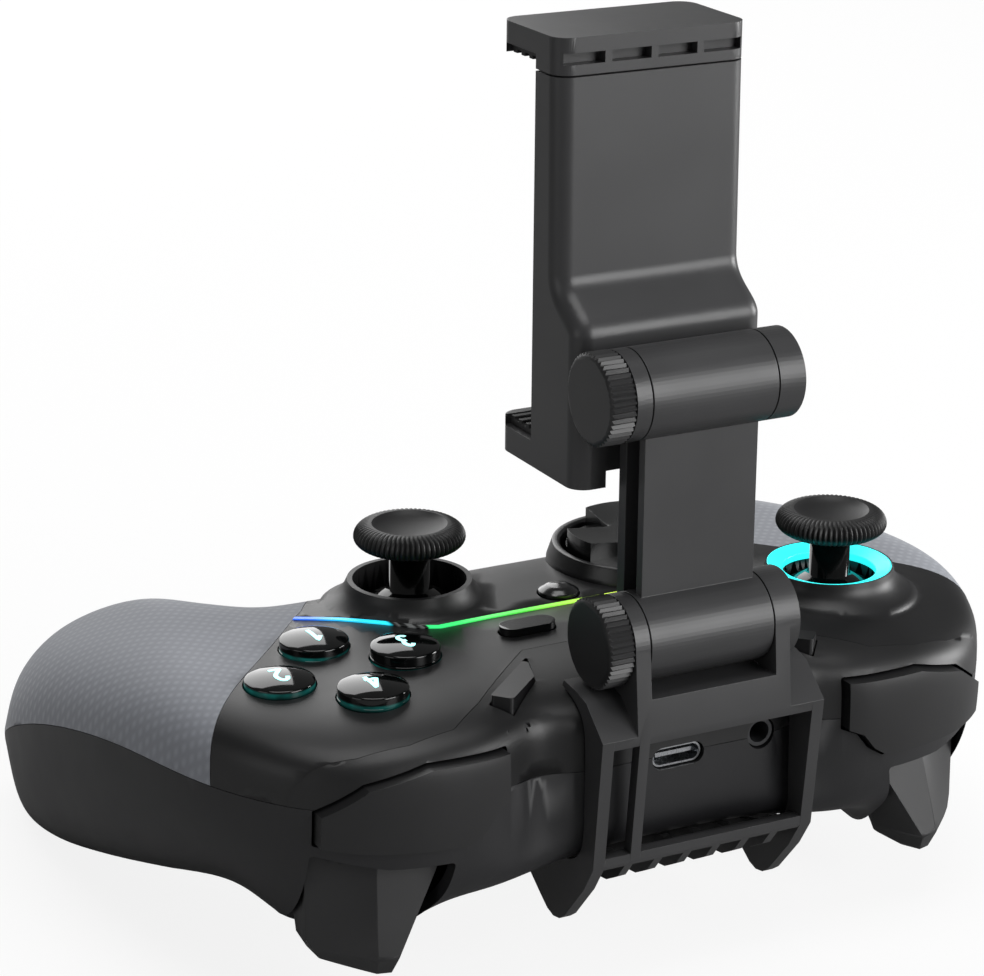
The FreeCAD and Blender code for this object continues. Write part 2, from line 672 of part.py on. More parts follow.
inner_frame = fused(frame_plate, *(side_frame + [mirrored(solid) for solid in side_frame]))
pin_holes = rod_x_axis(lug_in[0], lug_out[1], ty, tz, trigger_pin_radius)
nodes["inner_frame"] = inner_frame.cut([pin_holes, mirrored(pin_holes)])
bx, by, bz = battery_size
nodes["battery"] = box(-bx / 2, bx / 2, battery_y - by / 2, battery_y + by / 2, frame_bottom_z - bz, frame_bottom_z)

# Sockets in the rear wall
rear_y = pad_sections[0][1]
usb_z = board_top_z + usb_height / 2
jack_z = board_top_z + jack_height / 2
port_y = rear_y - port_recess


def usb_tube(y0, y1, grow):
    tube = stadium(0, usb_z, usb_width, usb_height, -y1, -y0, grow)
    tube.rotate(V(0, 0, 0), V(1, 0, 0), 90)
    return tube


usb_shell = usb_tube(port_y - usb_length, port_y, 0.0)
tongue_half = usb_width / 2 - usb_tongue_side
usb_tongue = box(-tongue_half, tongue_half, port_y - usb_length, port_y - usb_floor, usb_z - usb_tongue_half,
                 usb_z + usb_tongue_half)
usb_hollow = usb_tube(port_y - usb_length + usb_floor, port_y, -usb_wall).cut(usb_tongue)
nodes["usb_port"] = usb_shell.cut(usb_hollow)
jack_y = port_y - jack_nose_length
jack_body = box(jack_x - jack_width / 2, jack_x + jack_width / 2, jack_y - jack_length, jack_y, board_top_z,
                board_top_z + jack_height)
jack_nose = rod_y_axis(jack_x, jack_z, jack_y, port_y, jack_nose_radius)
jack_bore = rod_y_axis(jack_x, jack_z, jack_y - jack_length + 1.0, port_y, jack_bore_radius)
nodes["headset_jack"] = fused(jack_body, jack_nose).cut(jack_bore)
port_holes = [usb_tube(0, rear_reach, bore_gap), rod_y_axis(jack_x, jack_z, 0, rear_reach, jack_nose_radius + bore_gap)]
deck_skin = deck_skin.cut(port_holes)
lower_skin = lower_skin.cut(port_holes)

# Rubber sheets on the board with a post under each button
post_top_z = face_flange_z - stem_length - face_travel - post_gap
sheet_top_z = board_top_z + pad_sheet
sheet_reach = face_spacing + post_radius + sheet_margin
sheet = rod_z_axis(*face_centre, board_top_z, sheet_top_z, sheet_reach)
posts = [rod_z_axis(x, y, board_top_z, post_top_z, post_radius) for x, y in button_posts]
board_edge = board_outline[2][0]
sheet_limit = box(0, board_edge, -far, board_outline[1][1], board_top_z, 0)
nodes["button_pad"] = fused(sheet, *posts).common(sheet_limit)
middle_posts = []
for x, y, bottom_z in ((*home_at, small_flange_z), (*menu_at, small_flange_z), (-menu_at[0], menu_at[1], small_flange_z)):
    top_z = bottom_z - stem_length - small_travel - post_gap
    middle_posts.append(rod_z_axis(x, y, board_top_z, top_z, home_radius * 0.7))
middle_reach = menu_at[0] + middle_margin
middle_sheet = box(-middle_reach, middle_reach, home_at[1] - middle_margin, menu_at[1] + home_radius, board_top_z,
                   sheet_top_z)
nodes["middle_pad"] = fused(middle_sheet, *middle_posts)
cx = sum(x for x, y in corner_points) / 4
cy = sum(y for x, y in corner_points) / 4
corner_post_top_z = corner_flange_z - button_flange_height - small_travel - post_gap
corner_post = rod_z_axis(cx, cy, board_top_z, corner_post_top_z, menu_width / 2)
nodes["corner_switches"] = group(corner_post, mirrored(corner_post))
dpad_post_top_z = rocker_bottom_z - dpad_rocker_gap
dpad_base = rod_z_axis(*dpad_at, board_top_z, sheet_top_z, dpad_reach - 1.0)
dpad_column = rod_z_axis(*dpad_at, board_top_z, dpad_post_top_z, dpad_rocker_radius)
nodes["dpad_pad"] = fused(dpad_base, dpad_column)

# Sticks: module on the board, clicking carrier, gimbal across, dome with shaft, rubber cap
half = module_size / 2
inner = half - module_wall
carrier_half = inner - carrier_gap
carrier_inner = carrier_half - carrier_wall
bar_half = carrier_half - running_gap
block = gimbal_size / 2
pivot_low = stick_pivot_z - gimbal_height / 2
pivot_high = stick_pivot_z + gimbal_height / 2
carrier_low = stick_pivot_z - carrier_below
carrier_high = stick_pivot_z + carrier_above
for side, (x, y) in (("right", stick_right_at), ("left", stick_left_at)):
    module = box(x - half, x + half, y - half, y + half, board_top_z, module_top_z)
    well = box(x - inner, x + inner, y - inner, y + inner, board_top_z + module_wall, module_top_z)
    nodes["stick_module_" + side] = module.cut(well)
    carrier = box(x - carrier_half, x + carrier_half, y - carrier_half, y + carrier_half, carrier_low, carrier_high)
    middle = box(x - carrier_inner, x + carrier_inner, y - carrier_inner, y + carrier_inner, carrier_low, carrier_high)
    bearing = rod_x_axis(x - bar_half, x + bar_half, y, stick_pivot_z, gimbal_bar_radius + fit_gap)
    nodes["stick_carrier_" + side] = carrier.cut([middle, bearing])
    gimbal = box(x - block, x + block, y - block, y + block, pivot_low, pivot_high)
    bar = rod_x_axis(x - bar_half, x + bar_half, y, stick_pivot_z, gimbal_bar_radius)
    slot_y = stick_shaft_radius + gimbal_side_gap
    slot = box(x - gimbal_slot_half, x + gimbal_slot_half, y - slot_y, y + slot_y, pivot_low, pivot_high)
    pin_hole = rod_y_axis(x, stick_pivot_z, y - block, y + block, gimbal_pin_radius + fit_gap)
    nodes["stick_gimbal_" + side] = fused(gimbal, bar).cut([slot, pin_hole])
    sphere = Part.makeSphere(dome_radius, V(x, y, stick_pivot_z))
    hollow = Part.makeSphere(dome_radius - dome_wall, V(x, y, stick_pivot_z))
    rim_z = stick_pivot_z + dome_radius * math.cos(math.radians(dome_half_angle))
    reach = 2 * dome_radius
    above_rim = box(x - reach, x + reach, y - reach, y + reach, rim_z, rim_z + reach)
    dome = sphere.cut(hollow).common(above_rim)
    shaft = rod_z_axis(x, y, stick_pivot_z - stick_tail, cap_bottom_z, stick_shaft_radius)
    neck = rod_z_axis(x, y, stick_pivot_z + dome_radius - dome_wall, cap_bottom_z, neck_radius)
    stud = rod_z_axis(x, y, cap_bottom_z, cap_bottom_z + cap_stud_height, cap_stud_radius)
    cross_pin = rod_y_axis(x, stick_pivot_z, y - block, y + block, gimbal_pin_radius)
    nodes["stick_" + side] = fused(dome, shaft, neck, stud, cross_pin)
    edge = cap_edge_round
    cap_side = [(cap_stud_radius, cap_bottom_z), (cap_radius - edge, cap_bottom_z)]
    for k in range(1, 9):
        turn = math.pi * (k - 4) / 8
        swell = math.cos(turn)
        height = (cap_top_z + cap_bottom_z) / 2 + (cap_top_z - cap_bottom_z) / 2 * math.sin(turn)
        cap_side.append((cap_radius - edge + edge * swell, height))
    for k in range(1, 5):
        share = 1 - k / 4
        cap_side.append((dish_radius * share, cap_top_z - dish_depth * (1 - share * share)))
    cap_side += [(0, cap_bottom_z + cap_stud_height), (cap_stud_radius, cap_bottom_z + cap_stud_height)]
    nodes["stick_cap_" + side] = turned(cap_side, x, y)

# Rumble motors in the handles, each with an off-centre weight
mx, my, mz = motor_at
motor = rod_y_axis(mx, mz, my - motor_length / 2, my + motor_length / 2, motor_radius)
weight_y = my + motor_length / 2 + running_gap
shaft_bore = rod_y_axis(mx, mz, my, weight_y + weight_length, motor_shaft_radius)
nodes["rumble_motor_right"] = motor.cut(shaft_bore)
disc = rod_y_axis(mx, mz, weight_y, weight_y + weight_length, weight_radius)
hub = rod_y_axis(mx, mz, weight_y, weight_y + weight_length, 2 * motor_shaft_radius)
lower_half = box(mx - weight_radius, mx + weight_radius, weight_y, weight_y + weight_length, mz - weight_radius, mz)
weight_shaft = rod_y_axis(mx, mz, my, weight_y + weight_length, motor_shaft_radius - fit_gap)
nodes["rumble_weight_right"] = fused(disc.common(lower_half), hub, weight_shaft)
cradle_reach = motor_radius + cradle_wall
cradle_ys = (my - motor_length / 4, my + motor_length / 4)
cradles = [box(mx - cradle_reach, mx + cradle_reach, y - cradle_wall / 2, y + cradle_wall / 2, -far, mz) for y in cradle_ys]
inside = pad_form(shell_wall / 2)
cradle = group(*cradles).cut(motor).common(inside)

# Case screws in bosses that meet at the seam, and posts that carry the inner frame
lower_boss, upper_boss, sinks, screws = [], [], [], []
for x, y in screw_places:
    seam_z = part_line(y)
    floor_z = Part.makeLine(V(x, y, -far), V(x, y, far)).common(form).BoundBox.ZMin
    head_z = floor_z + screw_sink
    tip_z = seam_z + screw_grip
    for side in (1, -1):
        lower_boss.append(rod_z_axis(side * x, y, floor_z, seam_z, boss_radius))
        upper_boss.append(rod_z_axis(side * x, y, seam_z, 0, boss_radius))
        shank = rod_z_axis(side * x, y, head_z, tip_z, screw_radius)
        head = rod_z_axis(side * x, y, head_z - screw_head_height, head_z, screw_head_radius)
        sinks += [shank, rod_z_axis(side * x, y, -far, head_z, screw_head_radius + bore_gap)]
        screws.append(fused(shank, head))
frame_seats = [rod_z_axis(side * x, y, -far, frame_bottom_z, post_thickness) for x, y in frame_posts for side in (1, -1)]
lower_inside = [solid.common(inside) for solid in lower_boss + frame_seats]
lower_skin = lower_skin.fuse(lower_inside + [cradle, mirrored(cradle)]).cut(sinks)
upper_inside = group(*upper_boss).common(inside).cut(sinks)
grip_right = grip_right.fuse(upper_inside.common(grip_region))
face_skin = face_skin.fuse(upper_inside.cut(both_grips))
nodes["case_screws"] = group(*screws)
nodes["top_shell"] = face_skin
nodes["shoulder_frame"] = deck_skin
nodes["bottom_shell"] = lower_skin
nodes["grip_cover_right"] = grip_right


# Phone clip: everything here is centred on the clip's own middle
def centred(reach, y0, y1, z0, z1):
    return box(clip_x - reach, clip_x + reach, y0, y1, z0, z1)


def centred_rod(reach, y, z, radius):
    return rod_x_axis(clip_x - reach, clip_x + reach, y, z, radius)


def centred_prism(points, reach):
    return prism_x(points, clip_x - reach, clip_x + reach)


ear_inner = barrel_half + ear_gap
lower_bore = centred_rod(far, 0, 0, bolt_radius)
upper_bore = centred_rod(far, upper_axis_y, upper_axis_z, bolt_radius)
wide_lower_bore = centred_rod(far, 0, 0, bolt_radius + fit_gap)
wide_upper_bore = centred_rod(far, upper_axis_y, upper_axis_z, bolt_radius + fit_gap)

# Arm: two barrels and a waisted plate between them
arm_plate = fused(centred(arm_half, arm_back_y, arm_back_y + arm_back_wall, 0, upper_axis_z),
                  centred(arm_half, arm_front_y - arm_front_wall, arm_front_y, 0, upper_axis_z),
                  centred(arm_web_half, arm_back_y, arm_front_y, 0, upper_axis_z))
barrels = [centred_rod(barrel_half, 0, 0, barrel_radius),
           centred_rod(barrel_half, upper_axis_y, upper_axis_z, barrel_radius)]
nodes["arm"] = fused(arm_plate, *barrels).cut([wide_lower_bore, wide_upper_bore])

# Bolts, and the knobs that tighten them
knob_x = clip_x + ear_outer + knob_gap
bolt_start = clip_x - cap_outer + bolt_head
bolt_end = knob_x + knob_bore_end - running_gap
nodes["lower_bolt"] = rod_x_axis(bolt_start, bolt_end, 0, 0, bolt_radius)
nodes["upper_bolt"] = rod_x_axis(bolt_start, bolt_end, upper_axis_y, upper_axis_z, bolt_radius)


def knob(y, z):
    """Toothed wheel with a tapered face and a blind bore, lying along X."""
    teeth = []
    for k in range(2 * knob_teeth):
        turn = math.pi * k / knob_teeth
        r = knob_radius - (tooth_depth if k % 2 else 0)
        teeth.append((y + r * math.cos(turn), z + r * math.sin(turn)))
    wheel = prism_x(teeth, knob_x, knob_x + knob_length)
    side = [(0, 0), (knob_radius + 1, 0), (knob_radius + 1, knob_length - knob_taper), (knob_face_radius, knob_length),
            (0, knob_length)]
    form = turned(side, 0, 0)
    form.rotate(V(0, 0, 0), V(0, 1, 0), 90)
    form.translate(V(knob_x, y, z))
    bore = rod_x_axis(knob_x, knob_x + knob_bore_end, y, z, bolt_radius + fit_gap)
    return wheel.common(form).cut(bore)


nodes["lower_knob"] = knob(0, 0)
nodes["upper_knob"] = knob(upper_axis_y, upper_axis_z)

# Clip body: flat case, flared and forked at the foot to carry the upper hinge, jaw below
side_x = clip_x - clip_half
low_corner, lip_corner = V(side_x, clip_low_front_y, clip_bottom_z), V(side_x, clip_low_front_y, clip_flare_z)
waist, top_corner = V(side_x, clip_front_y, clip_flare_top_z), V(side_x, clip_high_front_y, clip_top_z)
slope = (top_corner - waist).normalize()
flare = Part.BezierCurve()
flare.setPoles([lip_corner, lip_corner + V(0, 0, clip_flare_pull), waist - slope * clip_flare_pull, waist])
front_edges = [Part.makeLine(low_corner, lip_corner), flare.toShape(), Part.makeLine(waist, top_corner)]
back_edges = Part.makePolygon([top_corner, V(side_x, clip_back_y, clip_top_z), V(side_x, clip_back_y, clip_bottom_z),
                               low_corner]).Edges
body_block = Part.Face(Part.Wire(Part.__sortEdges__(front_edges + back_edges))).extrude(V(2 * clip_half, 0, 0))


def on_front_corner(edge):
    """Whether an edge of the clip's block runs along one of its two front corners."""
    middle = edge.valueAt((edge.FirstParameter + edge.LastParameter) / 2)
    at_side = abs(abs(middle.x - clip_x) - clip_half) < fit_gap
    return at_side and middle.y > clip_high_front_y and clip_bottom_z < middle.z < clip_top_z


body_block = body_block.makeFillet(clip_edge_round, [edge for edge in body_block.Edges if on_front_corner(edge)])


def jaw_plan(y0, y1, z0, z1):
    """A block as wide as the clip with its four upright corners rounded."""
    low_x, high_x = clip_x - clip_half, clip_x + clip_half
    return prism_z([(low_x, y0), (high_x, y0), (high_x, y1), (low_x, y1)], z0, z1, 0.0, jaw_corner_round)


jaw_top_z = clip_bottom_z + jaw_thickness
jaw_shape = fused(centred(clip_half, jaw_reach_y, clip_back_y, clip_bottom_z, jaw_top_z),
                  centred(clip_half, jaw_reach_y, jaw_reach_y + jaw_lip, clip_bottom_z, jaw_top_z + jaw_lip))
jaw = jaw_shape.common(jaw_plan(jaw_reach_y, clip_back_y + 2 * jaw_corner_round, clip_bottom_z, jaw_top_z + jaw_lip))
recess = fused(centred(ear_inner, clip_front_y, rear_reach, 0, upper_axis_z),
               centred_rod(ear_inner, upper_axis_y, upper_axis_z, barrel_radius + barrel_room),
               centred(ear_inner, upper_axis_y, rear_reach, 0, upper_axis_z + barrel_radius + barrel_room))
knob_room = rod_x_axis(knob_x - knob_gap, knob_x + far, upper_axis_y, upper_axis_z, knob_radius + running_gap)
ears = centred_rod(ear_outer, upper_axis_y, upper_axis_z, barrel_radius)
strap = centred(ear_outer, clip_front_y, upper_axis_y, upper_axis_z - ear_strap_half, upper_axis_z + ear_strap_half)
fork = fused(ears, strap).cut(recess)
far_cap = rod_x_axis(clip_x - cap_outer, clip_x - ear_outer, upper_axis_y, upper_axis_z, barrel_radius)
case = fused(body_block, jaw).cut([recess, knob_room])
track_back_y = clip_back_y + clip_wall
track_front_y = track_back_y + slider_thickness + 2 * slider_gap
track = centred(slider_half + slider_gap, track_back_y, track_front_y, track_bottom_z, clip_top_z)
clip_body = fused(case, fork, far_cap).cut([track, upper_bore])
nodes["clip_body"] = clip_body

# Slider with the upper jaw, drawn down by a spring
head_z = clip_top_z + running_gap
jaw_low_z = top_jaw_z - top_jaw_thickness
tongue = centred(slider_half, track_back_y + slider_gap, track_front_y - slider_gap, slider_bottom_z, head_z)
head = centred(clip_half, clip_back_y, clip_high_front_y, head_z, top_jaw_z)
top_jaw = centred(clip_half, top_jaw_reach_y, clip_high_front_y, jaw_low_z, top_jaw_z)
top_lip = centred(clip_half, top_jaw_reach_y, top_jaw_reach_y + jaw_lip, jaw_low_z - jaw_lip, top_jaw_z)
slots = []
slot_pitch = (2 * clip_half - slot_rib) / slot_count
for k in range(slot_count):
    x = clip_x - clip_half + slot_rib + k * slot_pitch
    slots.append(box(x, x + slot_pitch - slot_rib, clip_high_front_y - slot_depth, rear_reach, slot_low_z, slot_high_z))
jaw_head = fused(head, top_jaw, top_lip).common(jaw_plan(top_jaw_reach_y, clip_high_front_y, head_z, top_jaw_z))
nodes["clip_slider"] = fused(tongue, jaw_head).cut(slots)
spring_y = (track_back_y + track_front_y) / 2
spring_pocket = rod_z_axis(clip_x, spring_y, track_bottom_z, slider_bottom_z, spring_radius)
nodes["clip_spring"] = spring_pocket.cut(rod_z_axis(clip_x, spring_y, track_bottom_z, slider_bottom_z, spring_bore_radius))


def ribbed_pad(y0, y1, z0, direction):
    """Rubber sheet with ribs across the phone's edge, standing up or hanging down from z0."""
    reach = clip_half - pad_margin
    z1 = z0 + direction * pad_rubber
    low, high = min(z0, z1), max(z0, z1)
    solids = [centred(reach, y0, y1, low, high)]
    pitch = (y1 - y0) / pad_rib_count
    rib_low, rib_high = min(z1, z1 + direction * pad_rib_height), max(z1, z1 + direction * pad_rib_height)
    for k in range(pad_rib_count):
        y = y0 + (k + 0.25) * pitch
        solids.append(centred(reach, y, y + pitch / 2, rib_low, rib_high))
    return fused(*solids)


nodes["lower_jaw_pad"] = ribbed_pad(jaw_reach_y + jaw_lip, clip_back_y, clip_bottom_z + jaw_thickness, 1)
nodes["upper_jaw_pad"] = ribbed_pad(top_jaw_reach_y + jaw_lip, clip_back_y, jaw_low_z, -1)

# Bracket: an open frame hooked over the rear edge of the pad, with ears for the lower hinge
room = pad_form(-bracket_clearance)
edge_inner = bracket_half - bracket_bar
side_outline = bracket_lip_top + [bracket_top, bracket_bottom] + fin_points
cheek = [prism_x(side_outline, clip_x + edge_inner, clip_x + bracket_half),
         prism_x(side_outline, clip_x - bracket_half, clip_x - edge_inner)]
bar_foot = (bracket_top[0] - 0.2, bracket_top[1] - bracket_top_bar)
top_hook = centred_prism(bracket_lip_top + [bracket_top, bar_foot] + bracket_lip_under, bracket_half)
bottom_start_z = bracket_bottom[1] + bracket_bottom_bar
bottom_outline = [(bracket_bottom[0] + 0.1, bottom_start_z), bracket_bottom] + bracket_lip_low
bottom_outline += [(0.0, bracket_lip_low[-1][1]), (bracket_bottom[0] - bracket_bar_depth, bottom_start_z)]
bottom_hook = centred_prism(bottom_outline, bracket_half)
rib_pitch = (2 * edge_inner + bracket_rib_width) / (bracket_rib_count + 1)
vents = []
for k in range(bracket_rib_count + 1):
    x = clip_x - edge_inner + k * rib_pitch
    vents.append(box(x, x + rib_pitch - bracket_rib_width, bracket_slot_back_y, rear_reach, -far, bracket_bottom[1] - 0.6))
bottom_hook = bottom_hook.cut(vents)
post_outline = [bracket_top, bracket_bottom, (bracket_bottom[0] - bracket_bar_depth, bracket_bottom[1]),
                (bracket_top[0] - bracket_bar_depth, bracket_top[1])]
post = prism_x(post_outline, clip_x + bracket_post_x - bracket_post_width / 2,
               clip_x + bracket_post_x + bracket_post_width / 2)
ear_outline = [(0, 0), (barrel_radius, 0), bracket_top, bracket_lip_under[1], (0, bracket_lip_top[1][1])]
ear_pair = fused(centred_rod(ear_outer, 0, 0, barrel_radius), centred_prism(ear_outline, ear_outer))
ear_pair = ear_pair.cut(centred(ear_inner, -far, far, bracket_lip_top[1][1], far))
lower_cap = rod_x_axis(clip_x - cap_outer, clip_x - ear_outer, 0, 0, barrel_radius)
bracket = fused(top_hook, bottom_hook, post, ear_pair, lower_cap, *cheek)
nodes["bracket"] = bracket.cut([room, lower_bore])

# Left-hand pieces are the right-hand ones in mirror image
for name in ("grip_cover", "bumper", "trigger", "menu_button", "corner_button", "rumble_motor", "rumble_weight"):
    nodes[name + "_left"] = mirrored(nodes[name + "_right"])

# Origin at the middle of the base: bottom of the handles, centre of the whole plan
boxes = [solid.optimalBoundingBox(False, False) for solid in nodes.values()]
low_x, high_x = min(b.XMin for b in boxes), max(b.XMax for b in boxes)
low_y, high_y = min(b.YMin for b in boxes), max(b.YMax for b in boxes)
low_z = min(b.ZMin for b in boxes)
shift = V(-(low_x + high_x) / 2, -(low_y + high_y) / 2, -low_z)
os.makedirs("parts", exist_ok=True)
for name, solid in nodes.items():
    placed = solid.copy()
    placed.translate(shift)
    placed.exportStep("parts/" + name + ".step")
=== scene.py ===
import json
import math

import bmesh
import bpy
import numpy as np
from mathutils import Matrix, Vector
from mathutils.bvhtree import BVHTree


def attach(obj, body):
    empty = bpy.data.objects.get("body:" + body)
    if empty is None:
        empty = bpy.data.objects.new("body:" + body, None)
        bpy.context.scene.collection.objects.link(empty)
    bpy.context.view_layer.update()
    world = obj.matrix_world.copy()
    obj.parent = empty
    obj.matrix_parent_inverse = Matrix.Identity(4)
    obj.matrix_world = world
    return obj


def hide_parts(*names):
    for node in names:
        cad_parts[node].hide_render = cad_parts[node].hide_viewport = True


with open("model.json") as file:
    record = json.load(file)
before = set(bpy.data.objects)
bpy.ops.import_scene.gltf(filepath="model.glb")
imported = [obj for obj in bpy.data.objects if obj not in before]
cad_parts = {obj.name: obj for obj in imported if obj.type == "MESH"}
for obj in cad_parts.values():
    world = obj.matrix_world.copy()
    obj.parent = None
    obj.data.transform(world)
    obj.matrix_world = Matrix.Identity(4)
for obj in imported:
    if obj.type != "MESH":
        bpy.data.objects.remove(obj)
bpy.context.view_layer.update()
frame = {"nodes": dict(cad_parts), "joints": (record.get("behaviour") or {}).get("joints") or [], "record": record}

# Where the part stands. Sizes below are written in millimetres about the lower clip hinge, as in
# the part's source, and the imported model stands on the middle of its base: the hinge joint of
# the folding arm gives the way from one to the other.
hinge = next(joint for joint in frame["joints"] if joint["name"] == "arm_fold")["pos_m"]
clip_x = -3.2
home_corner = np.array(hinge) * 1000.0 - np.array([clip_x, 0.0, 0.0])


def in_place(points):
    """Points in mm about the hinge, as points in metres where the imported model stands."""
    return (np.asarray(points, float) + home_corner) / 1000.0


# Camera. It looks from behind the pad, a little above, at the side with the triggers.
turn_deg, drop_deg, roll_deg = 152.0, 19.178, 0.591
focal_px, middle_px = 3299.06, (501.954, 489.306)
picture_px = (984.0, 976.0)
sensor_mm = 36.0
camera_at = (249.71, 412.24, 190.17)

turn, drop, roll = (math.radians(v) for v in (turn_deg, drop_deg, roll_deg))
back = np.array([math.sin(turn) * math.cos(drop), -math.cos(turn) * math.cos(drop), math.sin(drop)])
level = np.array([math.cos(turn), math.sin(turn), 0.0])
rise = np.cross(back, level)
right = level * math.cos(roll) + rise * math.sin(roll)
up = rise * math.cos(roll) - level * math.sin(roll)
lens = bpy.data.cameras.new("camera")
lens.sensor_width = sensor_mm
lens.lens = focal_px * sensor_mm / picture_px[0]
lens.shift_x = (picture_px[0] / 2 - middle_px[0]) / picture_px[0]
lens.shift_y = (middle_px[1] - picture_px[1] / 2) / picture_px[0]
lens.clip_start, lens.clip_end = 0.01, 20.0
camera = bpy.data.objects.new("camera", lens)
bpy.context.scene.collection.objects.link(camera)
pose = np.eye(4)
pose[:3, 0], pose[:3, 1], pose[:3, 2], pose[:3, 3] = right, up, back, in_place(camera_at)
camera.matrix_world = Matrix(pose)
bpy.context.scene.camera = camera
bpy.context.scene.view_settings.view_transform = "Standard"


# Table and light. The part stands on a pale table top in soft light from five white screens: one
# above, three before it and to its sides, and one behind that puts the gloss on the upper faces.
# The table and the room are white to the eye of the camera, and the table keeps the shadow.
def linear(hex_colour):
    """An sRGB hex colour as linear red, green, blue and alpha."""
    parts = [int(hex_colour[i:i + 2], 16) / 255 for i in (1, 3, 5)]
    return [c / 12.92 if c <= 0.04045 else ((c + 0.055) / 1.055) ** 2.4 for c in parts] + [1.0]


def add(tree, kind, inputs=None, **settings):
    """Adds one shader node. The inputs are values, or outputs of other nodes to link."""
    node = tree.nodes.new("ShaderNode" + kind)
    for name, value in settings.items():
        setattr(node, name, value)
    for name, value in (inputs or {}).items():
        if isinstance(value, bpy.types.NodeSocket):
            tree.links.new(value, node.inputs[name])
        else:
            node.inputs[name].default_value = value
    return node


def new_material(name):
    """An empty material with its node tree and its output node."""
    material = bpy.data.materials.new(name)
    material.use_nodes = True
    material.node_tree.nodes.clear()
    return material, material.node_tree, add(material.node_tree, "OutputMaterial")


paper, tree, out = new_material("table_paper")
camera_ray = add(tree, "LightPath").outputs["Is Camera Ray"]
white_share = 0.86
seen_white = add(tree, "Math", {0: camera_ray, 1: white_share}, operation="MULTIPLY")
shade = add(tree, "Mix", {0: camera_ray, 6: linear("#a6a6a6"), 7: linear("#f4f4f4")}, data_type="RGBA")
lit = add(tree, "BsdfDiffuse", {"Color": shade.outputs[2]})
white = add(tree, "Emission", {"Color": linear("#ffffff"), "Strength": 1.0})
mixed = add(tree, "MixShader", {0: seen_white.outputs[0], 1: lit.outputs[0], 2: white.outputs[0]})
tree.links.new(mixed.outputs[0], out.inputs["Surface"])
table_half = 6.0
table_corners = [(x * table_half, y * table_half, 0.0) for x, y in ((-1, -1), (1, -1), (1, 1), (-1, 1))]
table_mesh = bpy.data.meshes.new("table")
table_mesh.from_pydata(table_corners, [], [(0, 1, 2, 3)])
table = bpy.data.objects.new("table", table_mesh)
bpy.context.scene.collection.objects.link(table)
table_mesh.materials.append(paper)

room = bpy.data.worlds.new("room")
bpy.context.scene.world = room
room.use_nodes = True
tree = room.node_tree
tree.nodes.clear()
seen = add(tree, "LightPath").outputs
straight = add(tree, "Math", {0: seen["Is Camera Ray"], 1: seen["Is Transmission Ray"]}, operation="MAXIMUM")
soft = add(tree, "Background", {"Color": linear("#ffffff"), "Strength": 0.14})
bright = add(tree, "Background", {"Color": linear("#ffffff"), "Strength": 1.0})
mixed = add(tree, "MixShader", {0: straight.outputs[0], 1: soft.outputs[0], 2: bright.outputs[0]})
add(tree, "OutputWorld", {"Surface": mixed.outputs[0]})

aim_at = (0.0, 0.0, 0.07)
for name, at, size, watts in (("screen_above", (0.05, 0.10, 1.20), 0.7, 6.0),
                              ("screen_front", (-0.60, 1.10, 0.45), 0.8, 13.0),
                              ("screen_left", (1.15, 0.25, 0.30), 0.6, 1.2),
                              ("screen_right", (-1.20, 0.30, 0.25), 0.5, 11.0),
                              ("screen_back", (-0.05, -1.05, 0.50), 0.9, 7.0)):
    lamp = bpy.data.lights.new(name, "AREA")
    lamp.shape = "SQUARE"
    lamp.size = size
    lamp.energy = watts
    screen = bpy.data.objects.new(name, lamp)
    screen.visible_camera = False
    bpy.context.scene.collection.objects.link(screen)
    away = np.array(at) - np.array(aim_at)
    away /= np.linalg.norm(away)
    side = np.cross([0.0, 0.0, 1.0], away)
    side /= np.linalg.norm(side)
    pose = np.eye(4)
    pose[:3, 0], pose[:3, 1], pose[:3, 2], pose[:3, 3] = side, np.cross(away, side), away, at
    screen.matrix_world = Matrix(pose)


# Black shells: the face of the pad, the frame that carries the shoulder buttons, and the lower
# half. They are moulded in black ABS with a fine spark-eroded grain, which the eye sees as a
# soft, slightly grey sheen without sharp reflections.
def moulded(name, colour, roughness, grain_mm=0.35, grain_depth_mm=0.01, mottle=0.12, coat=0.0,
            gloss_change=0.03):
    """Moulded plastic: a fine grain of the mould, and slow changes in tone and in gloss."""
    material, tree, out = new_material(name)
    place = add(tree, "TexCoord").outputs["Object"]
    grain = add(tree, "TexNoise", {"Vector": place, "Scale": 1000.0 / grain_mm, "Detail": 2.0,
                                   "Roughness": 0.6})
    cloud = add(tree, "TexNoise", {"Vector": place, "Scale": 60.0, "Detail": 3.0, "Roughness": 0.55})
    dark, pale = linear(colour), linear(colour)
    dark[:3] = [c * (1 - mottle) for c in dark[:3]]
    pale[:3] = [c * (1 + mottle) for c in pale[:3]]
    tone = add(tree, "Mix", {0: cloud.outputs["Fac"], 6: dark, 7: pale}, data_type="RGBA")
    gloss = add(tree, "MapRange", {0: cloud.outputs["Fac"], 1: 0.3, 2: 0.7,
                                   3: roughness - gloss_change, 4: roughness + gloss_change})
    bump = add(tree, "Bump", {"Height": grain.outputs["Fac"], "Distance": grain_depth_mm / 1000.0,
                              "Strength": 0.6})
    skin = add(tree, "BsdfPrincipled", {"Base Color": tone.outputs[2], "Roughness": gloss.outputs[0],
                                        "Normal": bump.outputs[0], "IOR": 1.49, "Coat Weight": coat,
                                        "Coat Roughness": 0.12})
    tree.links.new(skin.outputs[0], out.inputs["Surface"])
    return material


bodies = frame["record"]["behaviour"]["bodies"]
body_of_node = {node: body for body, held in bodies.items() for node in held}


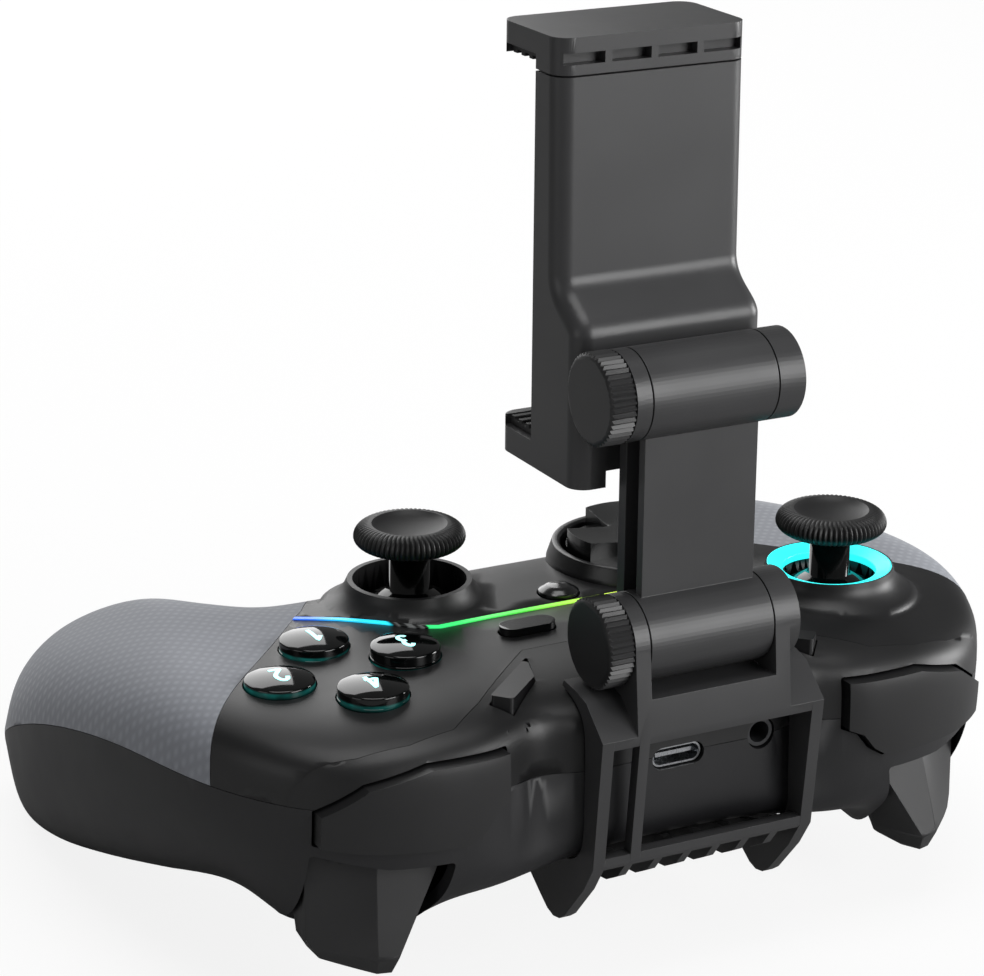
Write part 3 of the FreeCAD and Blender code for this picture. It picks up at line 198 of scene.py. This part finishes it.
def link(name, mesh, material, node):
    """Puts a finished mesh into the scene in the place of a CAD node, on that node's body."""
    piece = bpy.data.objects.new(name, mesh)
    bpy.context.scene.collection.objects.link(piece)
    mesh.materials.clear()
    mesh.materials.append(material)
    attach(piece, body_of_node[node])
    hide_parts(node)
    return piece


def softened(node, material, edge_mm=0.2, steps=2, sharp_deg=32.0, seam_mm=0.0):
    """A merged copy of a CAD node. Its skin lies seam_mm in along the vertex normals, so that two
    pieces that meet show the dark line of their seam, and its edges are rounded as moulding leaves them."""
    mesh = frame["nodes"][node].data.copy()
    work = bmesh.new()
    work.from_mesh(mesh)
    bmesh.ops.remove_doubles(work, verts=work.verts, dist=1e-6)
    work.to_mesh(mesh)
    work.free()
    places = np.empty(len(mesh.vertices) * 3)
    outward = np.empty(len(mesh.vertices) * 3)
    mesh.vertices.foreach_get("co", places)
    mesh.vertices.foreach_get("normal", outward)
    mesh.vertices.foreach_set("co", places - outward * seam_mm / 1000.0)
    mesh.shade_smooth()
    mesh.set_sharp_from_angle(angle=math.radians(sharp_deg))
    piece = link(node + "_shown", mesh, material, node)
    if edge_mm:
        rounding = piece.modifiers.new("edge", "BEVEL")
        rounding.width = edge_mm / 1000.0
        rounding.segments = steps
        rounding.limit_method = "ANGLE"
        rounding.angle_limit = math.radians(sharp_deg)
        evened = piece.modifiers.new("flat_faces", "WEIGHTED_NORMAL")
        evened.keep_sharp = True
    return piece


black_abs = moulded("black_moulded_abs", "#121213", 0.42)
lower_abs = moulded("lower_moulded_abs", "#18181a", 0.46)
shell_seam_mm = 0.08
softened("top_shell", black_abs, 0.0, seam_mm=shell_seam_mm)
softened("shoulder_frame", black_abs, 0.0, seam_mm=shell_seam_mm)
softened("bottom_shell", lower_abs, 0.0, seam_mm=shell_seam_mm)


# Grip covers. A soft grey rubber skin lies over the outer part of each handle, bonded to the
# shell. Fine ribs that cross are moulded into it, so it looks like cloth and has no gloss.
def twill_skin(name, colour, rib_mm=1.535):
    """Soft skin with two crossing sets of ribs, rib_mm from crest to crest. A wave of scale s has 20 s / 2 pi
    crests to the metre. The ribs are turned about all three axes, so no side of a handle runs along them."""
    material, tree, out = new_material(name)
    place = add(tree, "TexCoord").outputs["Object"]
    tilt = [math.radians(degrees) for degrees in (28.0, -22.0, 35.0)]
    turned_place = add(tree, "Mapping", {"Vector": place, "Rotation": tilt}).outputs[0]
    scale = 2 * math.pi / 20.0 * 1000.0 / rib_mm
    ribs, cross = (add(tree, "TexWave", {"Vector": turned_place, "Scale": scale}, wave_type="BANDS",
                       bands_direction=axis) for axis in ("X", "Y"))
    weave = add(tree, "Math", {0: ribs.outputs["Fac"], 1: cross.outputs["Fac"]}, operation="MULTIPLY")
    cloud = add(tree, "TexNoise", {"Vector": place, "Scale": 45.0, "Detail": 3.0})
    shade = linear(colour)
    dark, pale = [c * 0.88 for c in shade[:3]] + [1.0], [c * 1.08 for c in shade[:3]] + [1.0]
    tone = add(tree, "Mix", {0: weave.outputs[0], 6: dark, 7: pale}, data_type="RGBA")
    dull, clear = [0.92, 0.92, 0.93, 1.0], [1.06, 1.06, 1.05, 1.0]
    cloudy = add(tree, "Mix", {0: cloud.outputs["Fac"], 6: dull, 7: clear}, data_type="RGBA")
    both = add(tree, "Mix", {0: 1.0, 6: tone.outputs[2], 7: cloudy.outputs[2]}, data_type="RGBA",
               blend_type="MULTIPLY")
    bump = add(tree, "Bump", {"Height": weave.outputs[0], "Distance": 0.00008, "Strength": 0.5})
    skin = add(tree, "BsdfPrincipled", {"Base Color": both.outputs[2], "Roughness": 0.72,
                                        "Normal": bump.outputs[0], "IOR": 1.45, "Sheen Weight": 0.15,
                                        "Sheen Roughness": 0.4})
    tree.links.new(skin.outputs[0], out.inputs["Surface"])
    return material


grip_skin = twill_skin("grey_twill_skin", "#8b8e95")
for side in ("right", "left"):
    softened("grip_cover_" + side, grip_skin, 0.0, seam_mm=shell_seam_mm)


# Bumpers and triggers. Both are black ABS with a satin face, so their facets catch soft light.
# Each turns on its own pin in the deck and lower shell. The bumper's upper edge is a broad slope.
def even_path(points, count=48):
    """The same path with its points at even steps along it."""
    points = np.array(points, float)
    walked = np.concatenate([[0.0], np.cumsum(np.linalg.norm(np.diff(points, axis=0), axis=1))])
    steps = np.linspace(0.0, walked[-1], count)
    return np.column_stack([np.interp(steps, walked, points[:, 0]), np.interp(steps, walked, points[:, 1])])


def sloped_edge(piece, edge, mirror, width_mm, depth_mm, cuts, sharp_deg=20.0, behind_mm=60.0):
    """Planes off the edge between the top and the rear face. The edge is a row of (x, z) points. Each
    cut goes through the rear face width_mm below a point of the edge, found by a ray from behind_mm
    behind the part, and leaves the top face depth_mm ahead of that."""
    edge = even_path(edge, cuts)
    work = bmesh.new()
    work.from_mesh(piece.data)
    surface = BVHTree.FromBMesh(work)
    starts = in_place(np.column_stack([edge[:, 0] * mirror, np.full(cuts, behind_mm), edge[:, 1] - width_mm]))
    hits = [surface.ray_cast(Vector(start), Vector((0.0, -1.0, 0.0)))[0] for start in starts]
    low = np.array([hit for hit in hits if hit is not None])
    high = low + np.array([0.0, -depth_mm, width_mm]) / 1000.0
    outward = np.cross(np.gradient(low, axis=0), high - low)
    outward *= np.sign(outward[:, 1:2])
    for start, normal in zip(low, outward):
        held = work.verts[:] + work.edges[:] + work.faces[:]
        cut = bmesh.ops.bisect_plane(work, geom=held, dist=1e-7, plane_co=start, plane_no=normal,
                                     clear_outer=True)
        rim = [part for part in cut["geom_cut"] if isinstance(part, bmesh.types.BMEdge)]
        bmesh.ops.holes_fill(work, edges=rim)
    bmesh.ops.triangulate(work, faces=work.faces)
    work.to_mesh(piece.data)
    work.free()
    piece.data.shade_smooth()
    piece.data.set_sharp_from_angle(angle=math.radians(sharp_deg))


bumper_abs = moulded("bumper_satin_abs", "#19191a", 0.4)
trigger_abs = moulded("trigger_satin_abs", "#232324", 0.42)
bumper_top_edge = [(31.0, -13.5), (44.5, -13.5), (54.0, -15.9), (60.4, -20.4)]
bumper_slope_mm, bumper_slope_depth_mm, bumper_slope_cuts = 1.9, 1.3, 16
for side, mirror in (("right", 1.0), ("left", -1.0)):
    bumper = softened("bumper_" + side, bumper_abs, 0.0)
    sloped_edge(bumper, bumper_top_edge, mirror, bumper_slope_mm, bumper_slope_depth_mm, bumper_slope_cuts)
    softened("trigger_" + side, trigger_abs, 0.0, sharp_deg=24.0)


# Small buttons of the face: the home button, the two menu buttons and the two corner buttons.
# They are polished black ABS pressed up through the shell by rubber posts.
small_abs = moulded("small_button_abs", "#0f1011", 0.22, coat=0.4)
corner_abs = moulded("corner_button_abs", "#171718", 0.34)
softened("home_button", small_abs, 0.15)
for side in ("right", "left"):
    softened("menu_button_" + side, small_abs, 0.5, 3)
    softened("corner_button_" + side, corner_abs, 0.3, 3)


# Face buttons. Each is a clear domed acrylic cap moulded over a black core, with a groove where the
# two meet, and a plain figure lit from below. The clear rim carries some of the blue-green light.
def revolved(name, profile, at, material, node, around=96, wave=None):
    """Turns a profile round an upright axis: its point (r, z) goes to (x + r cos a, y + r sin a, z), and
    wave(r, z, a) is added to r. The profile starts and ends on the axis, where a point closes each pole."""
    radius, height = np.array(profile, float).T
    angle = np.linspace(0.0, 2 * math.pi, around, endpoint=False)
    ring = np.repeat(radius[1:-1, None], around, axis=1)
    level = np.repeat(height[1:-1, None], around, axis=1)
    if wave:
        ring = ring + wave(ring, level, angle[None, :])
    rings = np.stack([at[0] + ring * np.cos(angle), at[1] + ring * np.sin(angle), level], axis=2)
    rings = rings.reshape(-1, 3)
    points = np.vstack([rings, [(at[0], at[1], height[0]), (at[0], at[1], height[-1])]])
    index = np.arange(len(rings)).reshape(-1, around)
    after = np.roll(index, -1, axis=1)
    walls = np.stack([index[:-1], after[:-1], after[1:], index[1:]], axis=2).reshape(-1, 4)
    low = np.column_stack([after[0], index[0], np.full(around, len(rings))])
    high = np.column_stack([index[-1], after[-1], np.full(around, len(rings) + 1)])
    mesh = bpy.data.meshes.new(name)
    mesh.from_pydata(in_place(points).tolist(), [], walls.tolist() + low.tolist() + high.tolist())
    mesh.shade_smooth()
    mesh.set_sharp_from_angle(angle=math.radians(34.0))
    return link(name, mesh, material, node)


def ribbon(name, path, width, ground, sink, lift, material, body):
    """A flat strip along a path of (x, y) points. Its corners lie half the width off the path, square to
    it, sink below the ground and lift above it, where ground(x, y) gives the height."""
    path = np.array(path, float)
    along = np.gradient(path, axis=0)
    along /= np.linalg.norm(along, axis=1)[:, None]
    off = np.column_stack([-along[:, 1], along[:, 0]]) * width / 2
    sides = [path + off, path - off, path - off, path + off]
    steps = (-sink, -sink, lift, lift)
    heights = [ground(side[:, 0], side[:, 1]) + step for side, step in zip(sides, steps)]
    points = np.stack([np.column_stack([side, height]) for side, height in zip(sides, heights)], axis=1)
    index = np.arange(len(path) * 4).reshape(-1, 4)
    after = np.roll(index, -1, axis=1)
    walls = np.stack([index[:-1], after[:-1], after[1:], index[1:]], axis=2).reshape(-1, 4)
    mesh = bpy.data.meshes.new(name)
    mesh.from_pydata(in_place(points.reshape(-1, 3)).tolist(), [],
                     walls.tolist() + [index[0][::-1].tolist(), index[-1].tolist()])
    work = bmesh.new()
    work.from_mesh(mesh)
    bmesh.ops.recalc_face_normals(work, faces=work.faces)
    work.to_mesh(mesh)
    work.free()
    mesh.materials.append(material)
    piece = bpy.data.objects.new(name, mesh)
    bpy.context.scene.collection.objects.link(piece)
    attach(piece, body)
    return piece


def arc(x, y, radius, start_deg, end_deg, steps=14):
    """Points of an arc: (x + r cos a, y + r sin a)."""
    turn = np.radians(np.linspace(start_deg, end_deg, steps))
    return list(zip(x + radius * np.cos(turn), y + radius * np.sin(turn)))


def rimmed(name, colour, glow, low_mm, high_mm):
    """Clear acrylic over black: polished, with a faint glow in the clear rim between two heights."""
    material, tree, out = new_material(name)
    place = add(tree, "TexCoord").outputs["Object"]
    height = add(tree, "SeparateXYZ", {0: place}).outputs[2]
    low, high = (in_place([0.0, 0.0, z])[2] for z in (low_mm, high_mm))
    up = add(tree, "MapRange", {0: height, 1: low, 2: high}, interpolation_type="SMOOTHSTEP")
    down = add(tree, "MapRange", {0: height, 1: high, 2: high + (high - low) / 4, 3: 1.0, 4: 0.0})
    cloud = add(tree, "TexNoise", {"Vector": place, "Scale": 260.0, "Detail": 2.0})
    patch = add(tree, "MapRange", {0: cloud.outputs["Fac"], 1: 0.4, 2: 0.62, 3: 0.15, 4: 1.0})
    band = add(tree, "Math", {0: up.outputs[0], 1: down.outputs[0]}, operation="MULTIPLY")
    lit = add(tree, "Math", {0: band.outputs[0], 1: patch.outputs[0]}, operation="MULTIPLY")
    strength = add(tree, "Math", {0: lit.outputs[0], 1: 0.2}, operation="MULTIPLY")
    gloss = add(tree, "MapRange", {0: cloud.outputs["Fac"], 1: 0.3, 2: 0.7, 3: 0.04, 4: 0.07})
    skin = add(tree, "BsdfPrincipled", {"Base Color": linear(colour), "Roughness": gloss.outputs[0],
                                        "IOR": 1.49, "Emission Color": linear(glow),
                                        "Emission Strength": strength.outputs[0]})
    tree.links.new(skin.outputs[0], out.inputs["Surface"])
    return material


def lit_plastic(name, stops, strength):
    """Milky plastic lit from behind. The colour changes along X between the stops (x in mm, colour)."""
    material, tree, out = new_material(name)
    place = add(tree, "TexCoord").outputs["Object"]
    along = add(tree, "SeparateXYZ", {0: place}).outputs[0]
    low, high = stops[0][0] / 1000.0, stops[-1][0] / 1000.0
    share = add(tree, "MapRange", {0: along, 1: low, 2: high})
    ramp = add(tree, "ValToRGB", {0: share.outputs[0]})
    ramp.color_ramp.elements.remove(ramp.color_ramp.elements[1])
    for k, (x, colour) in enumerate(stops):
        position = (x / 1000.0 - low) / (high - low)
        stop = ramp.color_ramp.elements[0] if k == 0 else ramp.color_ramp.elements.new(position)
        stop.position = position
        stop.color = linear(colour)
    cloud = add(tree, "TexNoise", {"Vector": place, "Scale": 300.0})
    glow = add(tree, "MapRange", {0: cloud.outputs["Fac"], 1: 0.2, 2: 0.8,
                                  3: 0.9 * strength, 4: 1.1 * strength})
    skin = add(tree, "BsdfPrincipled", {"Base Color": ramp.outputs[0], "Roughness": 0.35,
                                        "Emission Color": ramp.outputs[0],
                                        "Emission Strength": glow.outputs[0]})
    tree.links.new(skin.outputs[0], out.inputs["Surface"])
    return material


face_centre, face_spacing = (44.9, -25.8), 10.95
face_radius, face_dome, face_edge_round = 5.65, 0.9, 0.35
face_top_z, face_slope_x, face_flange_z, face_foot_z, face_flange = -6.1, -0.084, -11.9, -12.9, 0.85
figure_height, figure_width, figure_line, figure_sink, figure_lift = 4.4, 2.7, 0.7, 0.15, 0.06
clear_black = rimmed("clear_over_black", "#050606", "#2aa79f", -9.2, -8.2)
figure_light = lit_plastic("figure_light", [(30.0, "#a4f6f2"), (60.0, "#9cf4ee")], 1.5)
figures = (
    [(-0.25, 0.72), (0.08, 1.0), (0.08, 0.0)],
    arc(0.0, 0.68, 0.32, 165.0, -35.0) + [(-0.34, 0.0), (0.36, 0.0)],
    arc(-0.02, 0.74, 0.25, 150.0, -80.0) + arc(-0.02, 0.27, 0.27, 80.0, -150.0),
    [(0.18, 0.0), (0.18, 1.0), (-0.34, 0.3), (0.4, 0.3)],
)
for number, (sx, sy) in enumerate(((0, -1), (1, 0), (-1, 0), (0, 1)), 1):
    at = (face_centre[0] + sx * face_spacing, face_centre[1] + sy * face_spacing)
    top = face_top_z + face_slope_x * sx * face_spacing
    rim = top - face_dome
    groove_z = rim - 1.5
    flank = [(0.0, face_foot_z), (face_radius + face_flange, face_foot_z),
             (face_radius + face_flange, face_flange_z), (face_radius, face_flange_z),
             (face_radius, groove_z - 0.12), (face_radius - 0.15, groove_z),
             (face_radius, groove_z + 0.12)]
    shoulder = arc(face_radius - face_edge_round, rim - 0.1, face_edge_round, 0.0, 68.0, 6)
    start = shoulder[-1]
    share = np.linspace(1.0, 0.0, 14)[1:]
    crown = list(zip(start[0] * share, top - (top - start[1]) * share ** 2))
    node = "face_button_%d" % number
    revolved(node + "_shown", flank + shoulder + crown, at, clear_black, node)
    corner = (at[0], at[1] - figure_height / 2)
    figure = even_path(np.array(figures[number - 1]) * (figure_width, figure_height) + corner)
    ribbon("figure_%d" % number, figure, figure_line,
           lambda x, y: top - (top - start[1]) * ((x - at[0]) ** 2 + (y - at[1]) ** 2) / start[0] ** 2,
           figure_sink, figure_lift, figure_light, body_of_node[node])


# Direction pad. A dished cross on a disc of glossy black ABS rocks on a ball under it, and a satin
# bezel of the same plastic is set into the shell round it. The cross shows sharp, bright edges.
dpad_abs = moulded("dpad_gloss_abs", "#101111", 0.24, coat=0.3)
bezel_abs = moulded("bezel_satin_abs", "#171718", 0.3)
softened("dpad", dpad_abs, 0.4, 3)
softened("dpad_ring", bezel_abs, 0.15)


# Thumb sticks. A dome and neck of polished black plastic stand on the stick module, and a cap of
# black rubber is pushed on. The dome mirrors the room, and the cap is dull with a ribbed rim.
dome_gloss = moulded("dome_polished_plastic", "#050505", 0.08, mottle=0.02, grain_depth_mm=0.0)
cap_rubber = moulded("cap_rubber", "#0e0e0f", 0.5)
stick_at = {"right": (21.9, -48.7), "left": (-44.9, -23.7)}
cap_radius, cap_top_z, cap_bottom_z, cap_stud_radius, cap_stud_height = 9.36, 5.4, 0.9, 2.2, 2.0
dish_radius, dish_depth, cap_foot_radius, rib_count, rib_depth = 6.3, 1.5, 4.2, 64, 0.42
edge_middle_z = (cap_top_z + cap_bottom_z) / 2
edge_half_height = (cap_top_z - cap_bottom_z) / 2
edge_reach = cap_radius - dish_radius
turn = np.radians(np.linspace(-90.0, 90.0, 27))
bulge = np.cos(turn) ** 0.8
under_reach = cap_radius - cap_foot_radius
edge_radius = np.where(turn < 0.0, cap_foot_radius + under_reach * bulge, dish_radius + edge_reach * bulge)
edge = list(zip(edge_radius, edge_middle_z + edge_half_height * np.sin(turn)))
share = np.linspace(1.0, 0.0, 12)[1:]
dish = list(zip(dish_radius * share, cap_top_z - dish_depth * (1.0 - share ** 2) ** 0.7))
socket = [(0.0, cap_bottom_z + cap_stud_height), (cap_stud_radius, cap_bottom_z + cap_stud_height),
          (cap_stud_radius, cap_bottom_z)]


def ribs(radius, height, angle):
    """Round ribs across the rim of the cap: r falls by depth * (1 - |cos(n a / 2)|), fading out at the
    dish and at the foot."""
    from_rim = np.clip((radius - dish_radius) / 0.9, 0.0, 1.0)
    return -rib_depth * from_rim * (1.0 - np.abs(np.cos(rib_count * angle / 2))) ** 0.8


for side in ("right", "left"):
    softened("stick_" + side, dome_gloss, 0.0)
    cap = "stick_cap_" + side
    revolved(cap + "_shown", socket + edge + dish, stick_at[side], cap_rubber, cap, around=rib_count * 8,
             wave=ribs)


# Lights. The ring round the left stick and the strip across the face are milky plastic, pressed into
# grooves of the shell and lit from behind, so their colour is even and they have no sharp gloss.
# Between the green and the blue half of the strip four small windows show the player, all unlit.
ring_light = lit_plastic("ring_light", [(-60.0, "#2ff5f5"), (-30.0, "#2ff5f5")], 1.0)
unlit, window = "#020303", "#4a4c4c"
green_half = [(-34.0, "#e6f04a"), (-11.0, "#d8f04a"), (8.0, "#58d84a"), (25.5, "#2fe07a")]
blue_half = [(30.4, "#28d8ee"), (36.0, "#28c0ee"), (40.0, "#2f6fe0"), (44.0, "#2f5fe0")]
dark_gap = [(25.7, unlit), (26.1, unlit), (26.2, window), (26.6, window), (26.7, unlit), (27.4, unlit),
            (27.5, window), (28.2, window), (28.3, unlit), (29.1, unlit), (29.2, window), (29.6, window),
            (29.7, unlit), (30.2, unlit)]
strip_light = lit_plastic("strip_light", green_half + dark_gap + blue_half, 1.0)
softened("light_ring_left", ring_light, 0.1)
softened("light_strip", strip_light, 0.05)

# Phone clip. The bracket snaps round the pad, the arm and the clip turn on two bolts with ribbed
# knobs, and the upper jaw slides in the clip. All are satin black ABS, a little greyer than the pad,
# and the jaws carry ribbed pads of dull rubber.
clip_abs = moulded("clip_satin_abs", "#333334", 0.38)
knob_abs = moulded("knob_satin_abs", "#1d1d1e", 0.4)
softened("arm", clip_abs, 0.35, 3)
softened("clip_body", clip_abs, 0.35, 3)
softened("clip_slider", clip_abs, 0.35, 3)
softened("bracket", clip_abs, 0.25, 2)
softened("lower_knob", knob_abs, 0.1, 1)
softened("upper_knob", knob_abs, 0.1, 1)
pad_rubber = moulded("jaw_rubber", "#141415", 0.6)
softened("lower_jaw_pad", pad_rubber, 0.15, 2)
softened("upper_jaw_pad", pad_rubber, 0.15, 2)


# Metal. The bolts, screws, pins, springs, motors and the charging socket are plain steel, turned,
# drawn or pressed, so they show a soft grey gloss with fine marks.
def steel(name, colour, roughness, gloss_change=0.06):
    """Plain steel with fine marks of turning and drawing, so its gloss is a little uneven."""
    material, tree, out = new_material(name)
    place = add(tree, "TexCoord").outputs["Object"]
    marks = add(tree, "TexNoise", {"Vector": place, "Scale": 2500.0, "Detail": 2.0})
    gloss = add(tree, "MapRange", {0: marks.outputs["Fac"], 1: 0.3, 2: 0.7,
                                   3: roughness - gloss_change, 4: roughness + gloss_change})
    bump = add(tree, "Bump", {"Height": marks.outputs["Fac"], "Distance": 0.000004, "Strength": 0.5})
    skin = add(tree, "BsdfPrincipled", {"Base Color": linear(colour), "Metallic": 1.0,
                                        "Roughness": gloss.outputs[0], "Normal": bump.outputs[0]})
    tree.links.new(skin.outputs[0], out.inputs["Surface"])
    return material


def coated(material, nodes):
    """Gives CAD nodes that are shown as they are their material."""
    for node in nodes:
        frame["nodes"][node].data.materials.clear()
        frame["nodes"][node].data.materials.append(material)


coated(steel("plain_steel", "#b9bbbe", 0.3),
       ("lower_bolt", "upper_bolt", "case_screws", "trigger_pins", "trigger_springs", "clip_spring",
        "usb_port", "rumble_motor_right", "rumble_motor_left", "rumble_weight_right", "rumble_weight_left"))

# Inside. The frame, the stick modules and the sockets are dull dark plastic, the sheets under the
# buttons are grey silicone, the board has green lacquer, and the cell is wrapped in blue film.
coated(moulded("inner_plastic", "#2c2d2f", 0.5),
       ("inner_frame", "stick_module_right", "stick_module_left", "stick_carrier_right", "stick_carrier_left",
        "stick_gimbal_right", "stick_gimbal_left", "dpad_rocker", "corner_switches", "headset_jack"))
coated(moulded("grey_silicone", "#8d8f92", 0.55), ("button_pad", "middle_pad", "dpad_pad"))
coated(moulded("board_lacquer", "#12472a", 0.3), ("main_board",))
coated(moulded("cell_wrap", "#56698c", 0.35), ("battery",))
